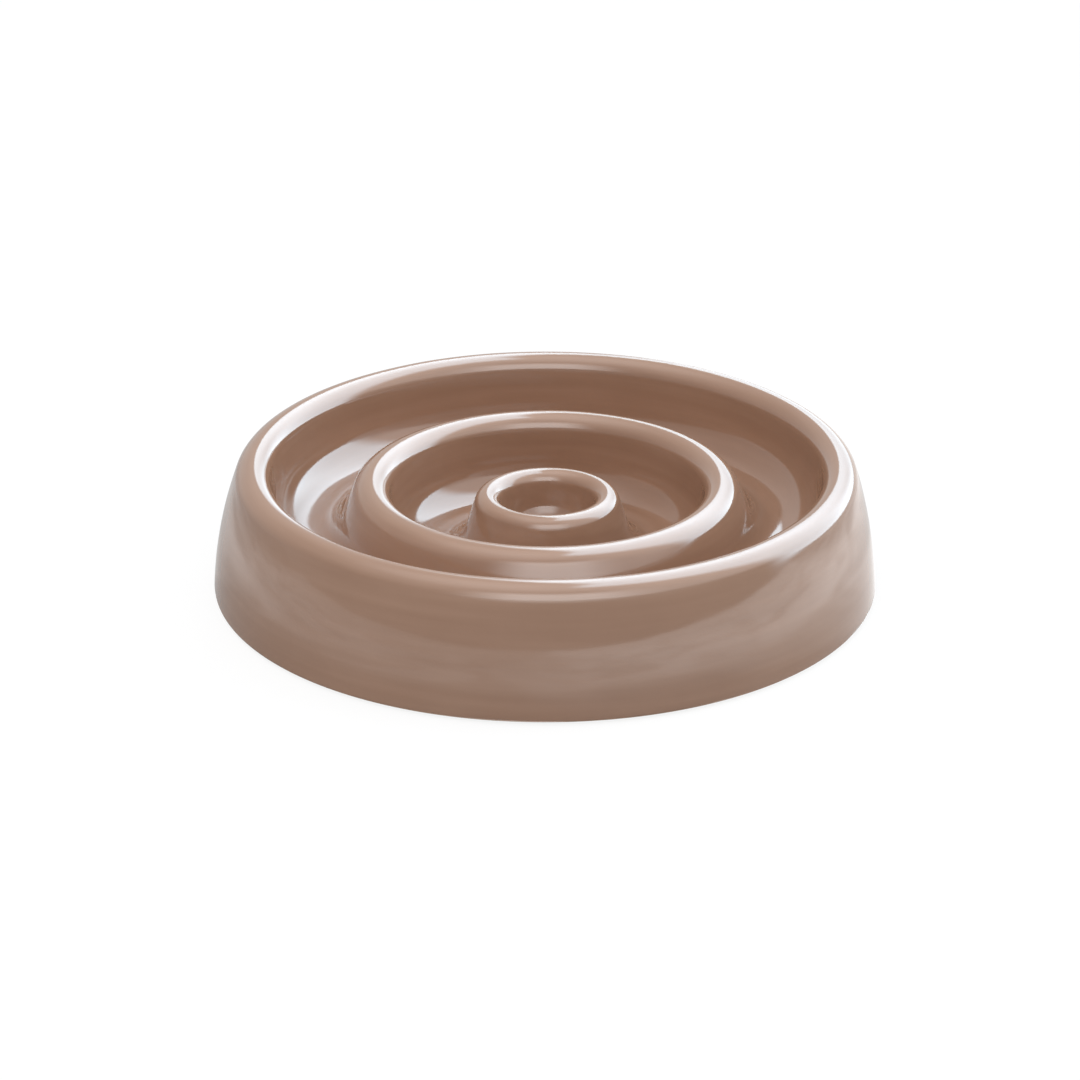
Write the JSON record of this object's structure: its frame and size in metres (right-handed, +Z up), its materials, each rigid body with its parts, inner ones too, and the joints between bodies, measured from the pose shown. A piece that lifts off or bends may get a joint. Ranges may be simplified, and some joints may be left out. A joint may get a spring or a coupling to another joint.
{
  "type": "slow feeder bowl",
  "caption": "Round glazed ceramic slow feeder bowl with two raised rings and a centre well inside a tapered skirt, on silicone foot pads",
  "frame": {"origin": "on the table, below the middle of the bowl", "axes": "+Z up along the axis of the rings; +X to the right and +Y to the back as the picture shows it"},
  "size_m": [0.2198, 0.2198, 0.0433],
  "materials": {
    "glaze": "glossy taupe glaze, bare clay under the foot ring",
    "silicone": "matt milky silicone"
  },
  "bodies": {
    "root": {"bowl_body": "glaze", "foot_pad_1": "silicone", "foot_pad_2": "silicone", "foot_pad_3": "silicone", "foot_pad_4": "silicone"}
  },
  "joints": []
}
